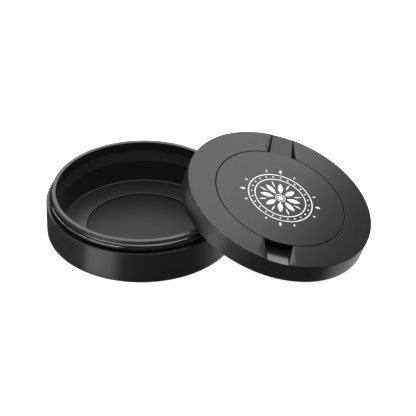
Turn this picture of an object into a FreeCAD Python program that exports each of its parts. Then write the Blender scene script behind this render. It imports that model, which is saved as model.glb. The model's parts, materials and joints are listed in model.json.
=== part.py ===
"""Round two-compartment pocket tin, open, with its lid leaning on the cup's rim.

The cup stands on the origin, which is the centre of its underside. +Z is up, and
+X points to the side where the lid leans. The lid is modelled flat in its own frame
and then leant against the cup's rim. All sizes are in millimetres.
"""

import FreeCAD
import Part
import math
import os

# Driving sizes of the cup
BODY_RADIUS = 34.0  # outside of the cup and of the lid
SHELL_HEIGHT = 12.3  # floor of the cup to the shoulder that the lid closes on
CUP_HEIGHT = 16.4  # floor to the top of the neck
SHELL_FLOOR = 0.5
SHELL_FOOT_ROUND = 1.0
SHELL_TOP_ROUND = 0.2
LINER_PLAY = 0.1  # liner inside shell, on the radius

NECK_RADIUS = 32.1  # outside of the liner, from its foot to the rim
NECK_BORE = 30.5
NECK_ROUND = 0.3
NECK_RELIEF_FOOT = 11.2  # a relief groove around the root of the neck
NECK_RELIEF_TOP = 12.3
NECK_RELIEF_DEPTH = 0.8
LINER_FLOOR = 0.8
LINER_FLOOR_ROUND = 0.3
LINER_FOOT_CHAMFER = 0.5
STEP_TOP = 12.7  # the bore narrows quickly between these two heights
STEP_FOOT = 9.4
STEP_BORE = 29.0
FLOOR_BORE = 28.5

FLOOR_WINDOW_RADIUS = 20.0  # round window in the liner's floor
FLOOR_DISC_PLAY = 0.15
FLOOR_DISC_THICKNESS = 0.25
FLOOR_DISC_ROUND = 0.08

# The seal band on the neck: flat-backed, with a bulged face
NECK_GROOVE_FOOT = 12.65
NECK_GROOVE_TOP = 15.05
NECK_GROOVE_DEPTH = 0.8
NECK_SEAL_CREST = 32.8
NECK_SEAL_PLAY = 0.05  # above and below the band in its groove
SEAL_SEAT_PLAY = 0.02  # behind a seal in its groove

# The lid, flat: z = 0 is its lower face
LID_THICKNESS = 7.4
LID_EDGE_ROUND = 0.2
LID_BORE = 32.5
LID_BORE_CHAMFER = 0.3
LID_NECK_DEPTH = 4.2  # room above the lower face for the neck
BOSS_RADIUS = 30.1  # guides the bore of the neck
COVER_SEAT_RADIUS = 24.0
COVER_SEAT_EDGE = 0.08
COVER_FLANGE = 1.3
LEDGE_BORE = 22.3

# Finger notches across the lid ring
NOTCH_ANGLE = -71.5  # of the front notch, from the lid's downhill side
NOTCH_OUTER_WIDTH = 7.7  # of the floor, at the lid's edge and under the cover's edge
NOTCH_INNER_WIDTH = 8.5
NOTCH_OUTER_DEPTH = 0.25
NOTCH_INNER_DEPTH = 3.1
NOTCH_FLARE = 22.0  # degrees that each side wall leans outwards
NOTCH_OVERRUN = 3.0

# The tray under the cover
TRAY_PLAY = 0.1
TRAY_BORE = 20.9
TRAY_FLOOR = 1.0
TRAY_FLOOR_ROUND = 0.8
TRAY_HEIGHT = 6.0
TRAY_FLANGE = 1.2
TRAY_CORNER_ROUND = 0.3

# The cover and its seal ring
COVER_RADIUS = 23.65
COVER_EDGE_ROUND = 0.06
PLUG_RADIUS = 20.7
PLUG_BORE = 18.6
PLUG_FOOT = 4.3
COVER_SEAL_SECTION = 1.0
COVER_SEAL_HEIGHT = 5.2
COVER_SEAL_CREST = 20.88
COVER_GROOVE_WIDTH = 1.1

# How the lid leans: tilt from level, sideways shift along +Y, and air above the rim
LEAN_TILT = 19.72
LEAN_SIDE_SHIFT = 8.7
LEAN_CLEARANCE = 0.05

PARTS_FOLDER = "parts"
UP = FreeCAD.Vector(0, 0, 1)
ORIGIN = FreeCAD.Vector(0, 0, 0)


def corner_arc(before, corner, after, radius):
    """The tangent arc that rounds one corner: its start, middle and end."""
    to_before = (before - corner).normalize()
    to_after = (after - corner).normalize()
    half = to_before.getAngle(to_after) / 2
    reach = radius / math.tan(half)
    bisector = (to_before + to_after).normalize()
    middle = corner + bisector * (radius / math.sin(half) - radius)
    return corner + to_before * reach, middle, corner + to_after * reach


def outline_face(corners):
    """A closed face in the XZ plane from (radius, height, corner rounding) triples."""
    points = [FreeCAD.Vector(radius, 0, height) for radius, height, _ in corners]
    starts, ends, edges = [], [], []
    for i, (_, _, rounding) in enumerate(corners):
        if rounding:
            start, middle, end = corner_arc(
                points[i - 1], points[i], points[(i + 1) % len(points)], rounding
            )
            edges.append(Part.Arc(start, middle, end).toShape())
        else:
            start = end = points[i]
        starts.append(start)
        ends.append(end)
    for i, end in enumerate(ends):
        following = starts[(i + 1) % len(starts)]
        edges.append(Part.makeLine(end, following))
    return Part.Face(Part.Wire(Part.__sortEdges__(edges)))


def turned(corners):
    """The solid that an outline sweeps in one full turn about the Z axis."""
    return outline_face(corners).revolve(ORIGIN, UP, 360)


def base_shell():
    """The outer cup wall and floor, up to the shoulder."""
    bore = NECK_RADIUS + LINER_PLAY
    return turned(
        [
            (0, 0, 0),
            (BODY_RADIUS, 0, SHELL_FOOT_ROUND),
            (BODY_RADIUS, SHELL_HEIGHT, SHELL_TOP_ROUND),
            (bore, SHELL_HEIGHT, 0),
            (bore, SHELL_FLOOR, 0),
            (0, SHELL_FLOOR, 0),
        ]
    )


def liner_cup():
    """The inner cup, whose neck stands above the shell and carries the seal."""
    floor = SHELL_FLOOR + LINER_FLOOR
    relief_bed = NECK_RADIUS - NECK_RELIEF_DEPTH
    groove_bed = NECK_RADIUS - NECK_GROOVE_DEPTH
    return turned(
        [
            (FLOOR_WINDOW_RADIUS, SHELL_FLOOR, 0),
            (NECK_RADIUS - LINER_FOOT_CHAMFER, SHELL_FLOOR, 0),
            (NECK_RADIUS, SHELL_FLOOR + LINER_FOOT_CHAMFER, 0),
            (NECK_RADIUS, NECK_RELIEF_FOOT, 0),
            (relief_bed, NECK_RELIEF_FOOT + NECK_RELIEF_DEPTH, 0),
            (relief_bed, NECK_RELIEF_TOP, 0),
            (NECK_RADIUS, NECK_RELIEF_TOP, 0),
            (NECK_RADIUS, NECK_GROOVE_FOOT, 0),
            (groove_bed, NECK_GROOVE_FOOT, 0),
            (groove_bed, NECK_GROOVE_TOP, 0),
            (NECK_RADIUS, NECK_GROOVE_TOP, 0),
            (NECK_RADIUS, CUP_HEIGHT, NECK_ROUND),
            (NECK_BORE, CUP_HEIGHT, NECK_ROUND),
            (NECK_BORE, STEP_TOP, 0),
            (STEP_BORE, STEP_FOOT, 0),
            (FLOOR_BORE, floor, LINER_FLOOR_ROUND),
            (FLOOR_WINDOW_RADIUS, floor, 0),
        ]
    )


def floor_disc():
    """The smooth disc that lies on the shell's floor in the liner's window."""
    radius = FLOOR_WINDOW_RADIUS - FLOOR_DISC_PLAY
    top = SHELL_FLOOR + FLOOR_DISC_THICKNESS
    return turned(
        [
            (0, SHELL_FLOOR, 0),
            (radius, SHELL_FLOOR, 0),
            (radius, top, FLOOR_DISC_ROUND),
            (0, top, 0),
        ]
    )


def neck_seal():
    """The rubber band in the neck's groove, whose face bulges out past the neck."""
    bed = NECK_RADIUS - NECK_GROOVE_DEPTH + SEAL_SEAT_PLAY
    foot = NECK_GROOVE_FOOT + NECK_SEAL_PLAY
    top = NECK_GROOVE_TOP - NECK_SEAL_PLAY
    crest = FreeCAD.Vector(NECK_SEAL_CREST, 0, (foot + top) / 2)
    corners = [
        FreeCAD.Vector(radius, 0, height)
        for radius, height in ((NECK_RADIUS, foot), (bed, foot), (bed, top), (NECK_RADIUS, top))
    ]
    back = Part.makePolygon(corners)
    bulge = Part.Arc(corners[-1], crest, corners[0]).toShape()
    section = Part.Face(Part.Wire(back.Edges + [bulge]))
    return section.revolve(ORIGIN, UP, 360)


def notch_cutter():
    """A flared wedge along +X that cuts one finger notch down to its ramp."""
    ramp_length = BODY_RADIUS - LEDGE_BORE
    flare = math.tan(math.radians(NOTCH_FLARE))
    sections = []
    for radius in (LEDGE_BORE - NOTCH_OVERRUN, BODY_RADIUS + NOTCH_OVERRUN):
        inward = (BODY_RADIUS - radius) / ramp_length
        depth = NOTCH_OUTER_DEPTH + inward * (NOTCH_INNER_DEPTH - NOTCH_OUTER_DEPTH)
        width = NOTCH_OUTER_WIDTH + inward * (NOTCH_INNER_WIDTH - NOTCH_OUTER_WIDTH)
        floor = LID_THICKNESS - depth
        top = LID_THICKNESS + NOTCH_OVERRUN
        half_floor = width / 2
        half_top = half_floor + (top - floor) * flare
        corners = [
            FreeCAD.Vector(radius, -half_floor, floor),
            FreeCAD.Vector(radius, half_floor, floor),
            FreeCAD.Vector(radius, half_top, top),
            FreeCAD.Vector(radius, -half_top, top),
        ]
        sections.append(Part.makePolygon(corners + corners[:1]))
    return Part.makeLoft(sections, True, True)


def lid_ring():
    """The flat ring, skirt and boss of the lid, with the cover's seat and two notches."""
    seat = LID_THICKNESS - COVER_FLANGE
    ring = turned(
        [
            (BODY_RADIUS, 0, LID_EDGE_ROUND),
            (BODY_RADIUS, LID_THICKNESS, LID_EDGE_ROUND),
            (COVER_SEAT_RADIUS, LID_THICKNESS, COVER_SEAT_EDGE),
            (COVER_SEAT_RADIUS, seat, 0),
            (LEDGE_BORE, seat, 0),
            (LEDGE_BORE, TRAY_FLANGE, 0),
            (BOSS_RADIUS, TRAY_FLANGE, 0),
            (BOSS_RADIUS, LID_NECK_DEPTH, 0),
            (LID_BORE, LID_NECK_DEPTH, 0),
            (LID_BORE, LID_BORE_CHAMFER, 0),
            (LID_BORE + LID_BORE_CHAMFER, 0, 0),
        ]
    )
    for angle in (NOTCH_ANGLE, NOTCH_ANGLE + 180):
        cutter = notch_cutter()
        cutter.rotate(ORIGIN, UP, angle)
        ring = ring.cut(cutter)
    return ring


def catch_tray():
    """The shallow cup under the cover, whose wide flange closes the lid from below."""
    wall = LEDGE_BORE - TRAY_PLAY
    return turned(
        [
            (0, 0, 0),
            (BOSS_RADIUS, 0, TRAY_CORNER_ROUND),
            (BOSS_RADIUS, TRAY_FLANGE, 0),
            (wall, TRAY_FLANGE, 0),
            (wall, TRAY_HEIGHT, TRAY_CORNER_ROUND),
            (TRAY_BORE, TRAY_HEIGHT, TRAY_CORNER_ROUND),
            (TRAY_BORE, TRAY_FLOOR, TRAY_FLOOR_ROUND),
            (0, TRAY_FLOOR, 0),
        ]
    )


def cover_disc():
    """The flush cover: a flat flange over a hollow plug with a groove."""
    flange_foot = LID_THICKNESS - COVER_FLANGE
    groove_foot = COVER_SEAL_HEIGHT - COVER_GROOVE_WIDTH / 2
    groove_top = COVER_SEAL_HEIGHT + COVER_GROOVE_WIDTH / 2
    groove_bed = COVER_SEAL_CREST - COVER_SEAL_SECTION - SEAL_SEAT_PLAY
    return turned(
        [
            (0, LID_THICKNESS, 0),
            (COVER_RADIUS, LID_THICKNESS, COVER_EDGE_ROUND),
            (COVER_RADIUS, flange_foot, COVER_EDGE_ROUND),
            (PLUG_RADIUS, flange_foot, 0),
            (PLUG_RADIUS, groove_top, 0),
            (groove_bed, groove_top, 0),
            (groove_bed, groove_foot, 0),
            (PLUG_RADIUS, groove_foot, 0),
            (PLUG_RADIUS, PLUG_FOOT, 0),
            (PLUG_BORE, PLUG_FOOT, 0),
            (PLUG_BORE, flange_foot, 0),
            (0, flange_foot, 0),
        ]
    )


def cover_seal():
    """The round rubber ring in the cover's plug."""
    middle = COVER_SEAL_CREST - COVER_SEAL_SECTION / 2
    return Part.makeTorus(middle, COVER_SEAL_SECTION / 2, ORIGIN + UP * COVER_SEAL_HEIGHT)


def leaning_placement():
    """Where the flat lid goes: its edge on the floor and its lower face on the rim."""
    tilt = math.radians(LEAN_TILT)
    edge_ring = BODY_RADIUS - LID_EDGE_ROUND
    height = edge_ring * math.sin(tilt) + LID_EDGE_ROUND * (1 - math.cos(tilt))
    rim_ring = NECK_RADIUS - NECK_ROUND
    rim_height = CUP_HEIGHT - NECK_ROUND
    plane_offset = (
        rim_ring * math.sin(tilt)
        + rim_height * math.cos(tilt)
        + NECK_ROUND
        + LEAN_CLEARANCE
    )
    reach = (plane_offset - height * math.cos(tilt)) / math.sin(tilt)
    place = FreeCAD.Vector(reach, LEAN_SIDE_SHIFT, height)
    return FreeCAD.Placement(place, FreeCAD.Rotation(FreeCAD.Vector(0, 1, 0), LEAN_TILT))


def export(name, shape):
    """Writes one sub-part and prints its volume."""
    if not shape.isValid() or len(shape.Solids) != 1:
        raise RuntimeError(f"{name} is not one valid solid")
    shape.Solids[0].exportStep(os.path.join(PARTS_FOLDER, name + ".step"))
    print(f"{name}: {shape.Volume / 1000:.3f} cm3")


def main():
    os.makedirs(PARTS_FOLDER, exist_ok=True)
    export("base_shell", base_shell())
    export("liner_cup", liner_cup())
    export("floor_disc", floor_disc())
    export("neck_seal", neck_seal())
    leaning = leaning_placement()
    axis = leaning.Rotation.multVec(UP)
    print(f"lid foot centre {leaning.Base}, lid axis {axis}")
    for name, make in (
        ("lid_ring", lid_ring),
        ("catch_tray", catch_tray),
        ("cover_disc", cover_disc),
        ("cover_seal", cover_seal),
    ):
        shape = make()
        shape.Placement = leaning.multiply(shape.Placement)
        export(name, shape)


main()
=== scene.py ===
# %% [markdown]
# # A round pocket tin with a leaning lid
#
# The object is a low black tin: a cup with a sealed neck, and a press-on lid that has its
# own shallow tray under a flush cover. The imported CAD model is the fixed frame, and this
# script gives it its looks. Every piece is turned work, so most of the lesson is about one
# method, drawing an outline and spinning it, and about making black surfaces readable.

# %% Load the frame
import json
import math

import bmesh
import bpy
from mathutils import Matrix, Vector


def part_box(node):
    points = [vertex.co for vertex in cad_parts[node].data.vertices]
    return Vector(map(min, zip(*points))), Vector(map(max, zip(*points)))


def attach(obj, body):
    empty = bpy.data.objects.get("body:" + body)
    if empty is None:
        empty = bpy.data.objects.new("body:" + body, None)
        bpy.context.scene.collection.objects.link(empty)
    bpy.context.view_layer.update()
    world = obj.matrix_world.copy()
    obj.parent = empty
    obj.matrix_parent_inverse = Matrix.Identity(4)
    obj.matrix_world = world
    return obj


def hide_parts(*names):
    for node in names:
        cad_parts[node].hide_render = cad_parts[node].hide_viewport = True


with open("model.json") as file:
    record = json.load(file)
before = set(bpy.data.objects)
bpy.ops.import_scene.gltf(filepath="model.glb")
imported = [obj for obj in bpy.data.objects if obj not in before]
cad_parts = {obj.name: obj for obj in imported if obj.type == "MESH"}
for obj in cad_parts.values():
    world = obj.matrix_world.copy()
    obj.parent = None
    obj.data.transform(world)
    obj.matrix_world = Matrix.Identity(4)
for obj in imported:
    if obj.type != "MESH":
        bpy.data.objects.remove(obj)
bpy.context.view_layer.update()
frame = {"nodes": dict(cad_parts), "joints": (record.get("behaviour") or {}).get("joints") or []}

MM = 0.001
print("nodes:", ", ".join(sorted(frame["nodes"])))

# %% [markdown]
# The camera comes first, so that every later step can be looked at. A long lens far away
# keeps the round rims nearly free of perspective, as in a product picture.

# %% Camera
CAMERA_PLACE = (0.3204, -0.8202, 0.6101)
CAMERA_TURN = (math.radians(55.649), 0.0, math.radians(19.83))
CAMERA_LENS = 260.7

camera_data = bpy.data.cameras.new("camera")
camera_data.lens = CAMERA_LENS
camera = bpy.data.objects.new("camera", camera_data)
camera.location = CAMERA_PLACE
camera.rotation_euler = CAMERA_TURN
bpy.context.scene.collection.objects.link(camera)
bpy.context.scene.camera = camera
print("camera", [round(v, 3) for v in camera.location])

# %% [markdown]
# Sizes come from the frame wherever a box can give them. The cup stands upright, so its
# boxes say radius and height directly. The lid leans, so its nodes are first turned back
# flat: the slide that lifts the lid runs along the lid's own axis, and that gives the tilt.

# %% How the lid leans
lift = next(joint for joint in frame["joints"] if joint["name"] == "lid_lift")
LID_AXIS = Vector(lift["axis"]).normalized()
LEAN_TURN = Vector((0, 0, 1)).rotation_difference(LID_AXIS).to_matrix().to_4x4()


def turned_back_box(node, turn):
    """Lowest and highest corners of a node after undoing a turn."""
    back = turn.inverted()
    points = [back @ vertex.co for vertex in frame["nodes"][node].data.vertices]
    low = Vector([min(point[i] for point in points) for i in range(3)])
    high = Vector([max(point[i] for point in points) for i in range(3)])
    return low, high


tray_low, tray_high = turned_back_box("catch_tray", LEAN_TURN)
tray_middle = (tray_low + tray_high) / 2
LID_FOOT = LEAN_TURN @ Vector((tray_middle.x, tray_middle.y, tray_low.z))
LEAN = Matrix.Translation(LID_FOOT) @ LEAN_TURN
print("lid foot", [round(v / MM, 2) for v in LID_FOOT], "mm")

# %% Sizes from the frame
shell_low, shell_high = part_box("base_shell")
liner_low, liner_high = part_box("liner_cup")
band_low, band_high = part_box("neck_seal")
disc_low, disc_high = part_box("floor_disc")
ring_low, ring_high = turned_back_box("lid_ring", LEAN)
cover_low, cover_high = turned_back_box("cover_disc", LEAN)
plug_seal_low, plug_seal_high = turned_back_box("cover_seal", LEAN)

BODY_RADIUS = shell_high.x
SHELL_HEIGHT = shell_high.z
NECK_RADIUS = liner_high.x
CUP_HEIGHT = liner_high.z
LINER_FOOT = liner_low.z
LID_THICKNESS = ring_high.z
COVER_RADIUS = cover_high.x
print("body radius", round(BODY_RADIUS / MM, 2), "neck", round(NECK_RADIUS / MM, 2))
print("lid thickness", round(LID_THICKNESS / MM, 2), "cover", round(COVER_RADIUS / MM, 2))

# %% [markdown]
# A turned part is one outline swept round its axis. On a lathe the tool follows that
# outline; here it is drawn with vertices in the XZ plane, its corners are rounded with a
# vertex bevel while it is still flat, and Spin does the sweep. Rounding first is cheaper
# than bevelling the finished solid, and every corner can have its own radius. Normals are
# weighted by area afterwards. Without that, a wide flat face would take a share of the tiny
# rounding beside it and shade as if it were a shallow cone.

# %% Select, draw and round an outline
TURN_STEPS = 192
ROUND_STEPS = 4


def select_nothing():
    """Leaves no object selected, so that an operator acts only on what comes next."""
    if bpy.context.object and bpy.context.object.mode != "OBJECT":
        bpy.ops.object.mode_set(mode="OBJECT")
    bpy.ops.object.select_all(action="DESELECT")


def select_where(piece, wanted):
    """In edit mode, selects the vertices whose place passes a test."""
    mesh = bmesh.from_edit_mesh(piece.data)
    for vertex in mesh.verts:
        vertex.select = wanted(vertex.co)
    mesh.select_flush_mode()
    bmesh.update_edit_mesh(piece.data)


def draw_outline(name, corners, closed):
    """Extrudes one vertex from corner to corner. A corner is (radius, height, rounding)."""
    select_nothing()
    bpy.ops.mesh.primitive_plane_add(size=MM)
    piece = bpy.context.object
    piece.name = name
    bpy.ops.object.mode_set(mode="EDIT")
    bpy.ops.mesh.select_mode(type="VERT")
    bpy.ops.mesh.select_all(action="SELECT")
    bpy.ops.mesh.merge(type="CENTER")
    places = [Vector((radius, 0, height)) for radius, height, _ in corners]
    bpy.ops.transform.translate(value=places[0])
    for before, after in zip(places, places[1:]):
        bpy.ops.mesh.extrude_vertices_move(TRANSFORM_OT_translate={"value": after - before})
    if closed:
        ends = (places[0], places[-1])
        select_where(piece, lambda co: min((co - end).length for end in ends) < 1e-7)
        bpy.ops.mesh.edge_face_add()
    return piece, places


def round_corners(piece, places, corners):
    """Bevels each corner that has a rounding into an arc."""
    for i, (_, _, rounding) in enumerate(corners):
        if not rounding:
            continue
        to_before = (places[i - 1] - places[i]).normalized()
        to_after = (places[(i + 1) % len(places)] - places[i]).normalized()
        reach = rounding / math.tan(to_before.angle(to_after) / 2)
        select_where(piece, lambda co, place=places[i]: (co - place).length < 1e-7)
        bpy.ops.mesh.bevel(offset=reach, segments=ROUND_STEPS, affect="VERTICES")


# %% Spin the outline
def spin_round(piece):
    """Sweeps the drawn outline once round Z and closes the seam and the poles."""
    bpy.ops.mesh.select_all(action="SELECT")
    bpy.ops.mesh.spin(steps=TURN_STEPS, angle=math.tau, center=(0, 0, 0), axis=(0, 0, 1))
    bpy.ops.mesh.select_all(action="SELECT")
    bpy.ops.mesh.remove_doubles(threshold=1e-6)
    bpy.ops.mesh.normals_make_consistent(inside=False)
    bpy.ops.object.mode_set(mode="OBJECT")


def smooth_shade(piece, bias=50):
    """Smooths the arcs, and lets the big flat faces keep their own normals beside them."""
    select_nothing()
    piece.select_set(True)
    bpy.context.view_layer.objects.active = piece
    bpy.ops.object.shade_smooth_by_angle(angle=math.radians(30))
    weigh = piece.modifiers.new("weigh", "WEIGHTED_NORMAL")
    weigh.keep_sharp = True
    weigh.weight = bias
    bpy.ops.object.modifier_apply(modifier=weigh.name)


def turn_piece(name, corners, closed=False):
    """One turned piece from its outline."""
    piece, places = draw_outline(name, corners, closed)
    round_corners(piece, places, corners)
    spin_round(piece)
    smooth_shade(piece)
    print(name, len(piece.data.polygons), "faces")
    return piece


# %% [markdown]
# Anodised and turned metal reflects along and across its tool marks differently, and the
# shader needs to know which way the marks run. A UV map whose U goes round the axis says
# so. It is written in code, because each face beside the seam has to stay on one side.

# %% A UV map that follows the turning
PROFILE_SCALE = 10


def add_turning_uv(piece):
    """U is the angle round Z, and V is radius plus height, ten to the metre."""
    mesh = piece.data
    layer = mesh.uv_layers.new(name="turning")
    for face in mesh.polygons:
        middle = math.atan2(face.center.y, face.center.x)
        for loop in face.loop_indices:
            co = mesh.vertices[mesh.loops[loop].vertex_index].co
            radius = math.hypot(co.x, co.y)
            angle = math.atan2(co.y, co.x) if radius > 1e-6 else middle
            angle += math.tau * round((middle - angle) / math.tau)
            layer.data[loop].uv = (angle / math.tau, (radius + co.z) * PROFILE_SCALE)


def lean_with_lid(piece):
    """Puts a piece that was made flat into the leaning lid, with its place in its mesh."""
    select_nothing()
    piece.select_set(True)
    bpy.context.view_layer.objects.active = piece
    piece.matrix_world = LEAN
    bpy.ops.object.transform_apply(location=True, rotation=True, scale=True)


# %% [markdown]
# The cup's outer shell is a plain turned pot. All that shows is its wall, a broad rounding
# at the foot, and the narrow shoulder that the lid closes on, whose edge is only just
# broken so that it catches a thin line of light.

# %% Cup shell
SHELL_FLOOR = LINER_FOOT
SHELL_BORE = NECK_RADIUS + 0.1 * MM

cup_shell = turn_piece(
    "cup_shell",
    [
        (0, 0, 0),
        (BODY_RADIUS, 0, 1.0 * MM),
        (BODY_RADIUS, SHELL_HEIGHT, 0.2 * MM),
        (SHELL_BORE, SHELL_HEIGHT, 0.1 * MM),
        (SHELL_BORE, SHELL_FLOOR, 0),
        (0, SHELL_FLOOR, 0),
    ],
)
add_turning_uv(cup_shell)

# %% [markdown]
# The liner is the inner cup. Its neck stands above the shoulder and carries the seal in a
# groove, with a narrow relief below it. Inside, the bore steps in once and then tapers a
# little, as a moulded cup does so that it leaves its mould. Its floor has a round window
# in which the smooth disc lies, so the outline starts at that window and is a closed loop.

# %% Liner cup
LINER_FLOOR = LINER_FOOT + 0.8 * MM
WINDOW_RADIUS = disc_high.x + 0.15 * MM
NECK_BORE = 30.5 * MM
GROOVE_FOOT = band_low.z - 0.05 * MM
GROOVE_TOP = band_high.z + 0.05 * MM
GROOVE_BED = NECK_RADIUS - 0.8 * MM
RELIEF_TOP = GROOVE_FOOT - 0.35 * MM

liner = turn_piece(
    "liner",
    [
        (WINDOW_RADIUS, LINER_FOOT, 0),
        (NECK_RADIUS - 0.5 * MM, LINER_FOOT, 0),
        (NECK_RADIUS, LINER_FOOT + 0.5 * MM, 0),
        (NECK_RADIUS, 11.2 * MM, 0),
        (GROOVE_BED, 12.0 * MM, 0),
        (GROOVE_BED, RELIEF_TOP, 0),
        (NECK_RADIUS, RELIEF_TOP, 0.1 * MM),
        (NECK_RADIUS, GROOVE_FOOT, 0.1 * MM),
        (GROOVE_BED, GROOVE_FOOT, 0),
        (GROOVE_BED, GROOVE_TOP, 0),
        (NECK_RADIUS, GROOVE_TOP, 0.1 * MM),
        (NECK_RADIUS, CUP_HEIGHT, 0.3 * MM),
        (NECK_BORE, CUP_HEIGHT, 0.3 * MM),
        (NECK_BORE, 12.7 * MM, 0.4 * MM),
        (29.0 * MM, 9.4 * MM, 0.4 * MM),
        (28.5 * MM, LINER_FLOOR, 0.3 * MM),
        (WINDOW_RADIUS, LINER_FLOOR, 0.12 * MM),
    ],
    closed=True,
)
add_turning_uv(liner)

# %% [markdown]
# The disc in the window is the one smooth, slightly glossy face inside the cup. It is thin
# and lies half a millimetre lower than the floor around it, and its edge is only broken.

# %% Floor disc
DISC_RADIUS = disc_high.x
floor_disc_piece = turn_piece(
    "smooth_floor_disc",
    [
        (0, disc_low.z, 0),
        (DISC_RADIUS, disc_low.z, 0),
        (DISC_RADIUS, disc_high.z, 0.08 * MM),
        (0, disc_high.z, 0),
    ],
)
add_turning_uv(floor_disc_piece)

# %% [markdown]
# The neck's seal is a moulded band: flat at the back, where it sits in its groove, and
# bulged in front, where the lid squeezes it. The bulge is an arc through three places: the
# groove's two edges and the crest. Its points come from the arc's own radius and centre,
# and a faint parting ridge stands at the crest, as on any moulded ring.

# %% Neck band
BAND_MIDDLE = (band_low.z + band_high.z) / 2
BAND_HALF = (band_high.z - band_low.z) / 2
BAND_CREST = band_high.x
BULGE = BAND_CREST - NECK_RADIUS
BULGE_RADIUS = (BAND_HALF**2 + BULGE**2) / (2 * BULGE)
BULGE_REACH = math.asin(BAND_HALF / BULGE_RADIUS)
BULGE_STEPS = 16
RIDGE = 0.015 * MM

band_outline = [
    (GROOVE_BED + 0.02 * MM, band_high.z, 0),
    (GROOVE_BED + 0.02 * MM, band_low.z, 0),
]
for step in range(BULGE_STEPS + 1):
    turn = BULGE_REACH * (2 * step / BULGE_STEPS - 1)
    reach = BULGE_RADIUS - (0 if step == BULGE_STEPS // 2 else RIDGE)
    middle = BAND_CREST - BULGE_RADIUS
    band_outline.append((middle + reach * math.cos(turn), BAND_MIDDLE + reach * math.sin(turn), 0))

neck_ring = turn_piece("neck_seal_ring", band_outline, closed=True)
add_turning_uv(neck_ring)

# %% [markdown]
# The cover's seal is an ordinary round ring. The same parting ridge makes its outline a
# circle with one raised point, which the torus primitive can't have.

# %% Cover seal
PLUG_SEAL_RADIUS = (plug_seal_high.z - plug_seal_low.z) / 2
PLUG_SEAL_HEIGHT = (plug_seal_high.z + plug_seal_low.z) / 2
RING_POINTS = 24

ring_outline = []
for step in range(RING_POINTS):
    turn = math.tau * step / RING_POINTS
    reach = PLUG_SEAL_RADIUS - (0 if step == 0 else RIDGE)
    middle = plug_seal_high.x - PLUG_SEAL_RADIUS
    ring_outline.append(
        (middle + reach * math.cos(turn), PLUG_SEAL_HEIGHT + reach * math.sin(turn), 0)
    )

plug_ring = turn_piece("cover_seal_ring", ring_outline, closed=True)
add_turning_uv(plug_ring)

# %% [markdown]
# The lid ring is turned like the cup and then cut: two finger notches run across it, level
# with the rim outside and deep under the cover's edge. Two wedges do it. The first is the
# notch, with a ramp for its floor, and the second only breaks the notch's upper edges.

# %% Lid ring, turned
LID_NECK_DEPTH = 4.2 * MM
TRAY_FLANGE = 1.2 * MM
COVER_FLANGE = 1.3 * MM
COVER_SEAT = COVER_RADIUS + 0.35 * MM
LEDGE_BORE = 22.3 * MM
BOSS_RADIUS = tray_high.x - tray_middle.x
LID_BORE = 32.5 * MM

lid_top = turn_piece(
    "lid_top_ring",
    [
        (BODY_RADIUS, 0, 0.2 * MM),
        (BODY_RADIUS, LID_THICKNESS, 0.2 * MM),
        (COVER_SEAT, LID_THICKNESS, 0.08 * MM),
        (COVER_SEAT, LID_THICKNESS - COVER_FLANGE, 0),
        (LEDGE_BORE, LID_THICKNESS - COVER_FLANGE, 0.1 * MM),
        (LEDGE_BORE, TRAY_FLANGE, 0),
        (BOSS_RADIUS, TRAY_FLANGE, 0),
        (BOSS_RADIUS, LID_NECK_DEPTH, 0),
        (LID_BORE, LID_NECK_DEPTH, 0),
        (LID_BORE, 0.3 * MM, 0),
        (LID_BORE + 0.3 * MM, 0, 0),
    ],
    closed=True,
)

# %% [markdown]
# Both wedges start as a cube along +X whose corners are then placed by a rule for the
# radius they stand at. The rules are linear, so every side of a wedge stays flat.

# %% Notch wedges
NOTCH_ANGLE = math.radians(-71.5)
NOTCH_OUTER_WIDTH = 7.7 * MM
NOTCH_INNER_WIDTH = 8.5 * MM
NOTCH_OUTER_DEPTH = 0.25 * MM
NOTCH_INNER_DEPTH = 3.1 * MM
NOTCH_FLARE = math.tan(math.radians(22))
EDGE_BREAK = 0.12 * MM
OVERRUN = 3.0 * MM


def along_ramp(radius, at_rim, at_ledge):
    """A size that changes evenly from the lid's rim to the ledge under the cover."""
    inward = (BODY_RADIUS - radius) / (BODY_RADIUS - LEDGE_BORE)
    return at_rim + inward * (at_ledge - at_rim)


def ramp_section(radius, upper):
    """Depth and half width of the notch, at its ramp or above the lid."""
    ramp = along_ramp(radius, NOTCH_OUTER_DEPTH, NOTCH_INNER_DEPTH)
    half = along_ramp(radius, NOTCH_OUTER_WIDTH, NOTCH_INNER_WIDTH) / 2
    depth = -OVERRUN if upper else ramp
    return depth, half + (ramp - depth) * NOTCH_FLARE


def edge_section(radius, upper):
    """Depth and half width of the wedge that breaks the notch's upper edges at 45 degrees."""
    ramp = along_ramp(radius, NOTCH_OUTER_DEPTH, NOTCH_INNER_DEPTH)
    half = along_ramp(radius, NOTCH_OUTER_WIDTH, NOTCH_INNER_WIDTH) / 2
    depth = -OVERRUN if upper else EDGE_BREAK
    return depth, half + (ramp - EDGE_BREAK) * NOTCH_FLARE + (EDGE_BREAK - depth)


def make_wedge(name, section):
    """A cube stretched along +X, with its corners placed by a section rule."""
    inner = LEDGE_BORE - OVERRUN
    outer = BODY_RADIUS + OVERRUN
    select_nothing()
    bpy.ops.mesh.primitive_cube_add(size=1, location=((inner + outer) / 2, 0, 0))
    wedge = bpy.context.object
    wedge.name = name
    wedge.scale = (outer - inner, 1, 1)
    bpy.ops.object.transform_apply(location=True, rotation=True, scale=True)
    for vertex in wedge.data.vertices:
        depth, half = section(vertex.co.x, vertex.co.z > 0)
        vertex.co.y = math.copysign(half, vertex.co.y)
        vertex.co.z = LID_THICKNESS - depth
    return wedge


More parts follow.
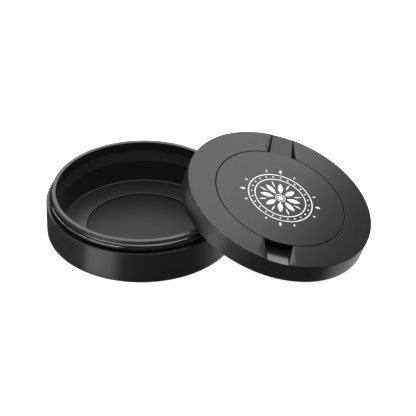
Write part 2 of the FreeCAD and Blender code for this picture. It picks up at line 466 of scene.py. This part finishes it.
def round_ramp_sides(wedge):
    """Rounds the two long edges beside the ramp, so that the notch has a soft foot."""
    bpy.ops.object.mode_set(mode="EDIT")
    bpy.ops.mesh.select_mode(type="EDGE")
    mesh = bmesh.from_edit_mesh(wedge.data)
    for edge in mesh.edges:
        along = edge.verts[0].co - edge.verts[1].co
        low = max(vertex.co.z for vertex in edge.verts) < LID_THICKNESS + OVERRUN / 2
        edge.select = low and abs(along.x) > abs(along.y)
    bmesh.update_edit_mesh(wedge.data)
    bpy.ops.mesh.bevel(offset=0.4 * MM, segments=4, affect="EDGES")
    bpy.ops.mesh.select_all(action="SELECT")
    bpy.ops.mesh.normals_make_consistent(inside=False)
    bpy.ops.object.mode_set(mode="OBJECT")


ramp_wedge = make_wedge("ramp_wedge", ramp_section)
round_ramp_sides(ramp_wedge)
edge_wedge = make_wedge("edge_wedge", edge_section)
print("wedges", len(ramp_wedge.data.vertices), "and", len(edge_wedge.data.vertices), "vertices")

# %% [markdown]
# A Boolean that fails can leave an empty mesh without any error, and a picture made from
# another side may not show it. So the volume is measured round the cuts, and the script
# stops if more than the two notches has gone.

# %% Cut both notches
def volume_of(piece):
    """The volume of a closed piece, in cubic millimetres."""
    mesh = bmesh.new()
    mesh.from_mesh(piece.data)
    volume = mesh.calc_volume() / MM**3
    mesh.free()
    return volume


def cut_with(piece, cutter, turn):
    """Turns the cutter round Z and takes it away from the piece."""
    cutter.rotation_euler = (0, 0, turn)
    bpy.context.view_layer.update()
    cut = piece.modifiers.new("notch", "BOOLEAN")
    cut.operation = "DIFFERENCE"
    cut.solver = "EXACT"
    cut.object = cutter
    select_nothing()
    piece.select_set(True)
    bpy.context.view_layer.objects.active = piece
    bpy.ops.object.modifier_apply(modifier=cut.name)


WHOLE_RING = volume_of(lid_top)
for notch_turn in (NOTCH_ANGLE, NOTCH_ANGLE + math.pi):
    for wedge in (ramp_wedge, edge_wedge):
        cut_with(lid_top, wedge, notch_turn)
CUT_SHARE = 1 - volume_of(lid_top) / WHOLE_RING
if not 0.005 < CUT_SHARE < 0.06:
    raise RuntimeError(f"the notches took {CUT_SHARE:.1%} of the ring")
print(f"the notches took {CUT_SHARE:.1%} of {WHOLE_RING:.0f} mm3")
bpy.data.objects.remove(ramp_wedge)
bpy.data.objects.remove(edge_wedge)
smooth_shade(lid_top, bias=80)
add_turning_uv(lid_top)
lean_with_lid(lid_top)
print("lid ring", len(lid_top.data.polygons), "faces")

# %% [markdown]
# The catch tray is the shallow cup under the cover, for what the cup's content leaves
# behind. Its flange is also the lid's underside. It is a plain moulded turning.

# %% Catch tray
TRAY_WALL = LEDGE_BORE - 0.1 * MM
TRAY_RIM = 6.0 * MM
TRAY_BORE = 20.9 * MM
TRAY_FLOOR = 1.0 * MM

tray = turn_piece(
    "tray",
    [
        (0, 0, 0),
        (BOSS_RADIUS, 0, 0.3 * MM),
        (BOSS_RADIUS, TRAY_FLANGE, 0),
        (TRAY_WALL, TRAY_FLANGE, 0),
        (TRAY_WALL, TRAY_RIM, 0.3 * MM),
        (TRAY_BORE, TRAY_RIM, 0.3 * MM),
        (TRAY_BORE, TRAY_FLOOR, 0.8 * MM),
        (0, TRAY_FLOOR, 0),
    ],
)
add_turning_uv(tray)
lean_with_lid(tray)

# %% [markdown]
# The cover lies flush in the lid ring. From above it is only a flat disc with a thin gap
# round it, so its edge matters most. Below, a hollow plug carries the second seal, which
# shows when the cover is lifted out.

# %% Cover
PLUG_RADIUS = 20.7 * MM
PLUG_BORE = 18.6 * MM
PLUG_GROOVE_HALF = 0.55 * MM
PLUG_GROOVE_BED = plug_seal_high.x - 1.02 * MM
COVER_FOOT = LID_THICKNESS - COVER_FLANGE

cover = turn_piece(
    "cover",
    [
        (0, LID_THICKNESS, 0),
        (COVER_RADIUS, LID_THICKNESS, 0.06 * MM),
        (COVER_RADIUS, COVER_FOOT, 0.06 * MM),
        (PLUG_RADIUS, COVER_FOOT, 0),
        (PLUG_RADIUS, PLUG_SEAL_HEIGHT + PLUG_GROOVE_HALF, 0),
        (PLUG_GROOVE_BED, PLUG_SEAL_HEIGHT + PLUG_GROOVE_HALF, 0),
        (PLUG_GROOVE_BED, PLUG_SEAL_HEIGHT - PLUG_GROOVE_HALF, 0),
        (PLUG_RADIUS, PLUG_SEAL_HEIGHT - PLUG_GROOVE_HALF, 0),
        (PLUG_RADIUS, cover_low.z, 0.15 * MM),
        (PLUG_BORE, cover_low.z, 0.15 * MM),
        (PLUG_BORE, COVER_FOOT, 0),
        (0, COVER_FOOT, 0),
    ],
)
add_turning_uv(cover)
lean_with_lid(cover)
lean_with_lid(plug_ring)

# %% [markdown]
# The cover carries a white print. Screen ink lies on the surface as a very thin layer, so
# each mark is a plate a few hundredths of a millimetre thick rather than a painted pattern:
# it keeps a crisp edge at any size. The motif is a plain rosette: petals round a centre,
# two thin rings, dots between them and four small diamonds.

# %% Print: one mark and its copies
INK_LIFT = 0.02 * MM
INK_SUNK = 0.01 * MM
PRINT_TURN = math.radians(19.8)
marks = []


def make_plate(name, sides, length, width, reach):
    """One flat mark: a circle of some sides, stretched, thickened and moved outwards."""
    select_nothing()
    bpy.ops.mesh.primitive_circle_add(vertices=sides, radius=0.5, fill_type="NGON")
    plate = bpy.context.object
    plate.name = name
    plate.scale = (length, width, 1)
    plate.location = (reach, 0, LID_THICKNESS - INK_SUNK)
    bpy.ops.object.transform_apply(location=True, rotation=True, scale=True)
    bpy.ops.object.mode_set(mode="EDIT")
    bpy.ops.mesh.select_all(action="SELECT")
    lift = {"value": (0, 0, INK_LIFT + INK_SUNK)}
    bpy.ops.mesh.extrude_region_move(TRANSFORM_OT_translate=lift)
    bpy.ops.mesh.select_all(action="SELECT")
    bpy.ops.mesh.normals_make_consistent(inside=False)
    bpy.ops.object.mode_set(mode="OBJECT")
    return plate


def pinch_ends(plate, reach, length, waist):
    """Narrows a stretched circle towards its ends, so that it becomes a pointed petal."""
    for vertex in plate.data.vertices:
        along = min(1, abs(vertex.co.x - reach) / (length / 2))
        vertex.co.y *= waist + (1 - waist) * (1 - along**2)


def copy_round(plate, count, start):
    """Turns one mark into a ring of marks, each with its own mesh."""
    for step in range(count):
        select_nothing()
        plate.select_set(True)
        bpy.context.view_layer.objects.active = plate
        bpy.ops.object.duplicate(linked=False)
        mark = bpy.context.object
        mark.rotation_euler = (0, 0, PRINT_TURN + start + math.tau * step / count)
        bpy.ops.object.transform_apply(location=True, rotation=True, scale=True)
        marks.append(mark)
    bpy.data.objects.remove(plate)


# %% Print: petals, dots and diamonds
PETALS = 8
petal = make_plate("petal", 40, 5.0 * MM, 1.9 * MM, 4.9 * MM)
pinch_ends(petal, 4.9 * MM, 5.0 * MM, 0.35)
copy_round(petal, PETALS, 0)
sliver = make_plate("sliver", 24, 3.2 * MM, 0.5 * MM, 6.9 * MM)
pinch_ends(sliver, 6.9 * MM, 3.2 * MM, 0.3)
copy_round(sliver, PETALS, math.pi / PETALS)
copy_round(make_plate("dot", 16, 0.6 * MM, 0.6 * MM, 10.6 * MM), 24, 0)
copy_round(make_plate("diamond", 4, 2.2 * MM, 1.1 * MM, 13.9 * MM), 4, 0)
copy_round(make_plate("small_diamond", 4, 1.3 * MM, 0.7 * MM, 13.6 * MM), 8, math.pi / 8)
copy_round(make_plate("centre", 32, 2.2 * MM, 2.2 * MM, 0), 1, 0)
print(len(marks), "marks")


# %% Print: rings
def ink_ring(name, radius, width):
    """A thin printed ring."""
    low = LID_THICKNESS - INK_SUNK
    high = LID_THICKNESS + INK_LIFT
    inner = radius - width / 2
    outer = radius + width / 2
    corners = [(inner, low, 0), (outer, low, 0), (outer, high, 0), (inner, high, 0)]
    marks.append(turn_piece(name, corners, closed=True))


ink_ring("eye_ring", 1.75 * MM, 0.25 * MM)
ink_ring("inner_ring", 9.4 * MM, 0.35 * MM)
ink_ring("outer_ring", 11.8 * MM, 0.35 * MM)

# %% Print: one piece
select_nothing()
for mark in marks:
    mark.select_set(True)
bpy.context.view_layer.objects.active = marks[-1]
bpy.ops.object.join()
cover_print = bpy.context.object
cover_print.name = "cover_print"
lean_with_lid(cover_print)
print("print", len(cover_print.data.polygons), "faces")

# %% [markdown]
# Now the finishes. Almost everything here is black, so what the eye reads is gloss: how
# wide a highlight is, which way it stretches, and how it breaks up. Each finish therefore
# varies its roughness and its surface, and hardly its colour.
#
# The first helper makes a shader, the second gives noise in space, the third maps a texture
# onto two limits, the fourth turns a texture into a bump of a real depth, and the fifth
# blends two colours by it.

# %% Shader helpers
def new_material(name, roughness, specular=0.5):
    """A Principled material, its node tree and its shader node."""
    material = bpy.data.materials.new(name)
    material.use_nodes = True
    tree = material.node_tree
    shader = tree.nodes["Principled BSDF"]
    shader.inputs["Roughness"].default_value = roughness
    shader.inputs["Specular IOR Level"].default_value = specular
    return material, tree, shader


def grain(tree, pitch, detail):
    """Noise in space, with lumps of about the given pitch in metres."""
    place = tree.nodes.new("ShaderNodeTexCoord")
    noise = tree.nodes.new("ShaderNodeTexNoise")
    noise.inputs["Scale"].default_value = 1 / pitch
    noise.inputs["Detail"].default_value = detail
    tree.links.new(place.outputs["Object"], noise.inputs["Vector"])
    return noise.outputs["Fac"]


def scale_range(tree, value, low, high, start=0.3, end=0.7):
    """Maps a texture's middle range onto two limits."""
    node = tree.nodes.new("ShaderNodeMapRange")
    node.inputs["From Min"].default_value = start
    node.inputs["From Max"].default_value = end
    node.inputs["To Min"].default_value = low
    node.inputs["To Max"].default_value = high
    tree.links.new(value, node.inputs["Value"])
    return node.outputs["Result"]


def add_bump(tree, shader, height, depth):
    """Bumps the surface by a texture, at a depth in metres."""
    bump = tree.nodes.new("ShaderNodeBump")
    bump.inputs["Strength"].default_value = 1.0
    bump.inputs["Distance"].default_value = depth
    tree.links.new(height, bump.inputs["Height"])
    tree.links.new(bump.outputs["Normal"], shader.inputs["Normal"])
    return bump


def blend_colours(tree, shader, value, first, second):
    """Drives the base colour from one colour to another."""
    mix = tree.nodes.new("ShaderNodeMix")
    mix.data_type = "RGBA"
    mix.inputs["A"].default_value = (*first, 1)
    mix.inputs["B"].default_value = (*second, 1)
    tree.links.new(value, mix.inputs["Factor"])
    tree.links.new(mix.outputs["Result"], shader.inputs["Base Color"])


# %% [markdown]
# Anodised metal keeps the fine marks of the lathe. They run round the axis, so their noise
# is one-dimensional, along V of the turning map, and the highlight stretches across them.
# The colour is nearly black and turns a little greyer where an outer edge has been rubbed.
# The cover's edge lies flush in its seat, so it isn't rubbed. Its side and the seat are left
# as the bath leaves them, dull and black, which keeps the gap round the cover a dark line.

# %% Turned, anodised metal
def along_profile(tree):
    """V of the turning map: radius plus height, ten to the metre."""
    uv = tree.nodes.new("ShaderNodeUVMap")
    uv.uv_map = "turning"
    split = tree.nodes.new("ShaderNodeSeparateXYZ")
    tree.links.new(uv.outputs["UV"], split.inputs["Vector"])
    return split.outputs["Y"]


def tool_marks(tree, pitch):
    """Noise that only changes across the lathe's marks."""
    profile = along_profile(tree)
    noise = tree.nodes.new("ShaderNodeTexNoise")
    noise.noise_dimensions = "1D"
    noise.inputs["Scale"].default_value = 1 / (pitch * PROFILE_SCALE)
    noise.inputs["Detail"].default_value = 3
    tree.links.new(profile, noise.inputs["W"])
    return noise.outputs["Fac"]


def edge_wear(tree, edges, width):
    """1 along the given profile places and 0 away from them, broken up by a fine grain."""
    profile = along_profile(tree)
    worn = None
    for edge in edges:
        away = tree.nodes.new("ShaderNodeMath")
        away.operation = "SUBTRACT"
        away.inputs[1].default_value = edge * PROFILE_SCALE
        tree.links.new(profile, away.inputs[0])
        size = tree.nodes.new("ShaderNodeMath")
        size.operation = "ABSOLUTE"
        tree.links.new(away.outputs["Value"], size.inputs[0])
        near = scale_range(tree, size.outputs["Value"], 1, 0, 0, width * PROFILE_SCALE)
        if worn is None:
            worn = near
            continue
        both = tree.nodes.new("ShaderNodeMath")
        both.operation = "MAXIMUM"
        tree.links.new(worn, both.inputs[0])
        tree.links.new(near, both.inputs[1])
        worn = both.outputs["Value"]
    broken = tree.nodes.new("ShaderNodeMath")
    broken.operation = "MULTIPLY"
    tree.links.new(worn, broken.inputs[0])
    tree.links.new(scale_range(tree, grain(tree, 1.5 * MM, 4), 0.2, 1), broken.inputs[1])
    return broken.outputs["Value"]


def anodised(name, roughness, specular, stretch, edges):
    """Black anodised metal with turning marks, stretched highlights and rubbed edges."""
    material, tree, shader = new_material(name, roughness, specular)
    shader.inputs["Anisotropic"].default_value = stretch
    shader.inputs["Anisotropic Rotation"].default_value = 0.25
    tangent = tree.nodes.new("ShaderNodeTangent")
    tangent.direction_type = "UV_MAP"
    tangent.uv_map = "turning"
    tree.links.new(tangent.outputs["Tangent"], shader.inputs["Tangent"])
    marks = tool_marks(tree, 0.18 * MM)
    rough = scale_range(tree, marks, roughness - 0.008, roughness + 0.008)
    tree.links.new(rough, shader.inputs["Roughness"])
    add_bump(tree, shader, marks, 0.00008 * MM)
    handled = scale_range(tree, grain(tree, 4 * MM, 4), 0, 0.04)
    worn = edge_wear(tree, edges, 0.12 * MM) if edges else handled
    blend_colours(tree, shader, worn, ANODISED_BLACK, RUBBED_GREY)
    return material


ANODISED_BLACK = (0.0048, 0.0048, 0.0051)
RUBBED_GREY = (0.045, 0.045, 0.046)
CUP_EDGES = (BODY_RADIUS + SHELL_HEIGHT, BODY_RADIUS)
LID_EDGES = (BODY_RADIUS + LID_THICKNESS,)
NO_EDGES = ()

cup_wall_finish = anodised("cup_wall_anodised", 0.36, 0.46, 0.5, CUP_EDGES)
lid_wall_finish = anodised("lid_wall_anodised", 0.36, 0.5, 0.6, LID_EDGES)
lid_top_finish = anodised("lid_top_anodised", 0.20, 0.36, 0.05, LID_EDGES)
cover_finish = anodised("cover_anodised", 0.20, 0.36, 0.05, NO_EDGES)
hidden_finish = anodised("hidden_anodised", 0.50, 0.05, 0.0, NO_EDGES)

# %% [markdown]
# The liner and the tray are moulded. A mould's spark-eroded surface gives a dull, very fine
# grain, coarser patches of slightly different gloss where the plastic cooled unevenly, and
# no direction at all, so everything is noise in space. The upright walls come off the mould
# a little duller than the flats. Their base colour is also twice the flats', which is painted
# light: it makes the upright walls read paler, as if more light fell on them.

# %% Moulded plastic
def moulded(name, smoothest, dullest, specular, darkest):
    """Black moulded plastic between two roughnesses, and a little paler in patches."""
    material, tree, shader = new_material(name, smoothest, specular)
    patches = grain(tree, 6 * MM, 2)
    add_bump(tree, shader, grain(tree, 0.12 * MM, 3), 0.003 * MM)
    tree.links.new(scale_range(tree, patches, smoothest, dullest), shader.inputs["Roughness"])
    palest = darkest * 1.25
    blend_colours(tree, shader, patches, (darkest, darkest, darkest), (palest, palest, palest))
    return material


moulded_finish = moulded("moulded_flats", 0.33, 0.38, 0.5, 0.0062)
# The walls' base colour, twice the flats', is painted light that makes the upright walls read paler.
moulded_wall_dull_and_painted_light = moulded("moulded_walls_painted_light", 0.38, 0.44, 0.28, 0.0120)

# %% [markdown]
# The floor disc is smoother. What keeps it from looking like glass is use: a broad, faint
# unevenness of gloss and short rubbed marks from whatever was taken out of the cup.

# %% Smooth floor
smooth_finish, smooth_tree, smooth_shader = new_material("smooth_floor", 0.34, 0.14)
smooth_patches = grain(smooth_tree, 9 * MM, 4)
smooth_rough = scale_range(smooth_tree, smooth_patches, 0.31, 0.38)
smooth_tree.links.new(smooth_rough, smooth_shader.inputs["Roughness"])
add_bump(smooth_tree, smooth_shader, grain(smooth_tree, 0.5 * MM, 2), 0.0008 * MM)
blend_colours(smooth_tree, smooth_shader, smooth_patches, (0.006, 0.006, 0.0062), (0.008, 0.008, 0.0082))

# %% [markdown]
# The seal is greased rubber, so its bulge carries one thin, sharp highlight, broken a
# little by the fine dust that clings to it and shows as a greyer bloom.

# %% Seal rubber
rubber_finish, rubber_tree, rubber_shader = new_material("seal_rubber", 0.12, 0.8)
rubber_dust = grain(rubber_tree, 0.7 * MM, 5)
rubber_rough = scale_range(rubber_tree, rubber_dust, 0.11, 0.17)
rubber_tree.links.new(rubber_rough, rubber_shader.inputs["Roughness"])
add_bump(rubber_tree, rubber_shader, grain(rubber_tree, 0.2 * MM, 2), 0.0003 * MM)
blend_colours(rubber_tree, rubber_shader, rubber_dust, (0.004, 0.004, 0.004), (0.009, 0.009, 0.009))

# %% [markdown]
# Screen ink is opaque and dull, with a slight mottle from the screen and a few thin spots.

# %% Print ink
ink_finish, ink_tree, ink_shader = new_material("white_ink", 0.6, 0.3)
ink_mottle = grain(ink_tree, 0.35 * MM, 4)
blend_colours(ink_tree, ink_shader, ink_mottle, (0.62, 0.62, 0.61), (0.84, 0.84, 0.83))
add_bump(ink_tree, ink_shader, ink_mottle, 0.003 * MM)
ink_rough = scale_range(ink_tree, ink_mottle, 0.52, 0.68)
ink_tree.links.new(ink_rough, ink_shader.inputs["Roughness"])


# %% Put the finishes on
def paint(piece, finish, wall_finish=None, axis=Vector((0, 0, 1))):
    """Gives a piece its finish, and another one to the walls that run along its axis."""
    piece.data.materials.clear()
    piece.data.materials.append(finish)
    if wall_finish is None:
        return
    piece.data.materials.append(wall_finish)
    walls = 0
    for face in piece.data.polygons:
        if abs(face.normal.dot(axis)) < WALL_LIMIT:
            face.material_index = 1
            walls += 1
    print(piece.name, walls, "wall faces of", len(piece.data.polygons))


WALL_LIMIT = math.cos(math.radians(45))
paint(cup_shell, lid_top_finish, cup_wall_finish)
paint(lid_top, lid_top_finish, lid_wall_finish, LID_AXIS)
paint(cover, cover_finish, hidden_finish, LID_AXIS)
paint(liner, moulded_finish, moulded_wall_dull_and_painted_light)
paint(tray, moulded_finish, moulded_wall_dull_and_painted_light, LID_AXIS)
paint(floor_disc_piece, smooth_finish)
paint(neck_ring, rubber_finish)
paint(plug_ring, rubber_finish)
paint(cover_print, ink_finish)

# %% Dull the cover's seat
lid_top.data.materials.append(hidden_finish)
SEAT_LIMIT = COVER_SEAT + 0.02 * MM
SEAT_CEILING = LID_THICKNESS - 0.1 * MM
seat_faces = 0
for face in lid_top.data.polygons:
    in_lid = LEAN.inverted() @ face.center
    if math.hypot(in_lid.x, in_lid.y) < SEAT_LIMIT and in_lid.z < SEAT_CEILING:
        face.material_index = 2
        seat_faces += 1
print("seat", seat_faces, "faces")

# %% [markdown]
# Each piece now rides on the body that its CAD node belongs to, and stands for that node.
# The print is new: it rides on the cover and replaces nothing.

# %% Ride on the frame
for piece, body, node, slot in (
    (cup_shell, "cup", "base_shell", "black_anodised"),
    (liner, "cup", "liner_cup", "black_moulded"),
    (floor_disc_piece, "cup", "floor_disc", "smooth_floor"),
    (neck_ring, "cup", "neck_seal", "seal_rubber"),
    (lid_top, "lid", "lid_ring", "black_anodised"),
    (tray, "lid", "catch_tray", "black_moulded"),
    (cover, "cover", "cover_disc", "black_anodised"),
    (plug_ring, "cover", "cover_seal", "seal_rubber"),
):
    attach(piece, body)
    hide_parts(node)
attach(cover_print, "cover")

# %% [markdown]
# Black gloss is lit by what it mirrors. The flat faces mirror a softbox behind the object,
# whose right edge makes the lid fall from light to dark, with a weaker panel beside it. The
# walls mirror what lies below the horizon, so the table is treated as glass: reflections
# and shadow rays pass through the white floor. Small cards hang under it where a wall should
# have its upright streak, and two low strips draw the thin line along the neck's band. The
# floor glows a little, as a lit table does, so no hard shadow lies beside the black tin.

# %% Floor
FLOOR_DROP = 0.02 * MM  # keeps the floor and the cup's underside from sharing one plane
select_nothing()
bpy.ops.mesh.primitive_plane_add(size=8, location=(0, 0, -FLOOR_DROP))
floor = bpy.context.object
floor.name = "studio_floor"
paper_finish, _, paper_shader = new_material("floor_paper", 0.9, 0.0)
paper_shader.inputs["Base Color"].default_value = (0.95, 0.95, 0.95, 1)
paper_shader.inputs["Emission Color"].default_value = (1, 1, 1, 1)
paper_shader.inputs["Emission Strength"].default_value = 0.95
paint(floor, paper_finish)
floor.visible_glossy = False
floor.visible_shadow = False


# %% Lights
def add_softbox(name, place, aim, size, radiance):
    """A flat light of a size in metres. A radiance of 1 is as bright as lit white paper."""
    data = bpy.data.lights.new(name, "AREA")
    data.shape = "RECTANGLE"
    data.size, data.size_y = size
    data.energy = radiance * math.pi * size[0] * size[1]
    light = bpy.data.objects.new(name, data)
    light.location = place
    light.rotation_euler = (Vector(aim) - Vector(place)).to_track_quat("-Z", "Y").to_euler()
    light.visible_camera = False
    bpy.context.scene.collection.objects.link(light)
    print(name, round(data.energy, 3), "W")


add_softbox("back_softbox", (-0.055, 0.36, 0.205), (0.03, 0, 0.01), (0.36, 0.37), 2.75)
add_softbox("back_panel", (0.42, 0.60, 0.40), (0.03, 0, 0), (0.6, 0.6), 0.2)
add_softbox("overhead_softbox", (0.0, 0.05, 1.2), (0, 0.05, 0), (1.8, 1.8), 3.6)
add_softbox("left_strip", (-0.49, -0.09, -0.04), (0, 0, 0.012), (0.5, 0.03), 13.0)
add_softbox("front_strip", (-0.235, -0.44, -0.045), (0, 0, 0.012), (0.5, 0.035), 17.0)
add_softbox("front_card", (-0.018, -0.061, -0.0115), (0.012, -0.01, 0.012), (0.032, 0.018), 2.9)
add_softbox("right_card", (0.15, 0.16, -0.10), (0.09, 0.04, 0), (0.25, 0.30), 1.0)

world = bpy.data.worlds.new("studio")
world.use_nodes = True
world.node_tree.nodes["Background"].inputs["Color"].default_value = (1, 1, 1, 1)
world.node_tree.nodes["Background"].inputs["Strength"].default_value = 0.06
bpy.context.scene.world = world
bpy.context.scene.view_settings.view_transform = "Standard"
